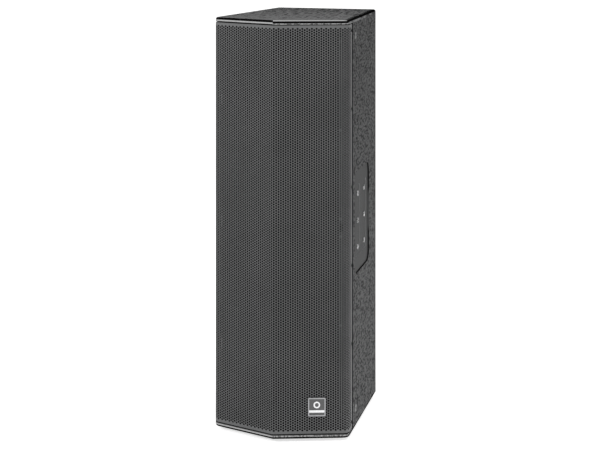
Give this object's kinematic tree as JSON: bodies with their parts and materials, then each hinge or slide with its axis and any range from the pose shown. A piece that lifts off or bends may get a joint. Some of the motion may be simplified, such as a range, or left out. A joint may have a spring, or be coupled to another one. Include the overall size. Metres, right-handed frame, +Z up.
{
  "type": "line array speaker",
  "caption": "Tall tapered loudspeaker cabinet with a V-shaped perforated front grille, recessed side mounting plates, a woofer column and tall waveguides.",
  "frame": {"origin": "middle of the base on the floor, under the middle of the bounding box", "axes": "+Z up, the ridge of the grille faces -Y, +X to the right seen from the front"},
  "size_m": [0.3636, 0.494, 1.078],
  "materials": {
    "cabinet_paint": "fine textured black-grey paint on plywood",
    "baffle_paint": "matt black paint on plywood",
    "bare_plywood": "bare birch plywood",
    "wadding": "polyester wadding",
    "grille_paint": "satin powder-coated steel",
    "grille_foam": "open-cell acoustic foam",
    "plate_paint": "smooth powder-coated steel",
    "badge_paint": "satin black",
    "badge_silver": "satin silver",
    "black_steel": "black zinc-plated steel",
    "zinc_steel": "bright zinc-plated steel",
    "rubber": "matt rubber",
    "cast_aluminium": "cast, matt",
    "surround_rubber": "satin rubber",
    "spider_cloth": "resin-dipped cloth",
    "cone_paper": "coated paper",
    "copper": "enamelled copper wire",
    "ferrite": "ferrite, matt",
    "black_plastic": "moulded black plastic",
    "titanium": "thin metal dome",
    "circuit_board": "glass-fibre circuit board"
  },
  "bodies": {
    "cabinet": {"left_side_panel": "cabinet_paint", "right_side_panel": "cabinet_paint", "top_panel": "cabinet_paint", "bottom_panel": "cabinet_paint", "rear_panel": "cabinet_paint", "baffle": "baffle_paint", "internal_braces": "bare_plywood", "damping_pads": "wadding", "front_grille": "grille_paint", "grille_foam": "grille_foam", "grille_screws": "black_steel", "badge_plate": "badge_paint", "badge_trim": "badge_silver", "left_side_plate": "plate_paint", "right_side_plate": "plate_paint", "side_plate_screws": "zinc_steel", "rigging_inserts": "zinc_steel", "rubber_feet": "rubber", "upper_woofer_basket": "cast_aluminium", "upper_woofer_surround": "surround_rubber", "upper_woofer_spider": "spider_cloth", "upper_woofer_top_plate": "zinc_steel", "upper_woofer_magnet": "ferrite", "upper_woofer_yoke": "zinc_steel", "middle_woofer_basket": "cast_aluminium", "middle_woofer_surround": "surround_rubber", "middle_woofer_spider": "spider_cloth", "middle_woofer_top_plate": "zinc_steel", "middle_woofer_magnet": "ferrite", "middle_woofer_yoke": "zinc_steel", "lower_woofer_basket": "cast_aluminium", "lower_woofer_surround": "surround_rubber", "lower_woofer_spider": "spider_cloth", "lower_woofer_top_plate": "zinc_steel", "lower_woofer_magnet": "ferrite", "lower_woofer_yoke": "zinc_steel", "woofer_screws": "black_steel", "upper_tweeter_waveguide": "black_plastic", "upper_tweeter_body": "cast_aluminium", "upper_tweeter_cover": "black_steel", "lower_tweeter_waveguide": "black_plastic", "lower_tweeter_body": "cast_aluminium", "lower_tweeter_cover": "black_steel", "tweeter_screws": "black_steel", "connector_plate": "plate_paint", "speaker_sockets": "black_plastic", "connector_screws": "black_steel", "crossover_board": "circuit_board", "crossover_coils": "copper"},
    "upper_cone": {"upper_woofer_cone": "cone_paper", "upper_woofer_dust_cap": "cone_paper", "upper_woofer_voice_coil": "copper"},
    "middle_cone": {"middle_woofer_cone": "cone_paper", "middle_woofer_dust_cap": "cone_paper", "middle_woofer_voice_coil": "copper"},
    "lower_cone": {"lower_woofer_cone": "cone_paper", "lower_woofer_dust_cap": "cone_paper", "lower_woofer_voice_coil": "copper"},
    "upper_diaphragm": {"upper_tweeter_diaphragm": "titanium"},
    "lower_diaphragm": {"lower_tweeter_diaphragm": "titanium"}
  },
  "joints": [
    {"name": "upper_cone_stroke", "type": "slide", "parent": "cabinet", "child": "upper_cone", "axis": [0, -1, 0], "range_m": [-0.005, 0.005], "stiffness_N_per_m": 2000},
    {"name": "middle_cone_stroke", "type": "slide", "parent": "cabinet", "child": "middle_cone", "axis": [0, -1, 0], "range_m": [-0.005, 0.005], "stiffness_N_per_m": 2000},
    {"name": "lower_cone_stroke", "type": "slide", "parent": "cabinet", "child": "lower_cone", "axis": [0, -1, 0], "range_m": [-0.005, 0.005], "stiffness_N_per_m": 2000},
    {"name": "upper_diaphragm_stroke", "type": "slide", "parent": "cabinet", "child": "upper_diaphragm", "axis": [0, -1, 0], "range_m": [-0.0004, 0.0004], "stiffness_N_per_m": 4000},
    {"name": "lower_diaphragm_stroke", "type": "slide", "parent": "cabinet", "child": "lower_diaphragm", "axis": [0, -1, 0], "range_m": [-0.0004, 0.0004], "stiffness_N_per_m": 4000}
  ],
  "couplings": [
    {"joint": "middle_cone_stroke", "follows": "upper_cone_stroke", "ratio": 1},
    {"joint": "lower_cone_stroke", "follows": "upper_cone_stroke", "ratio": 1},
    {"joint": "lower_diaphragm_stroke", "follows": "upper_diaphragm_stroke", "ratio": 1}
  ]
}
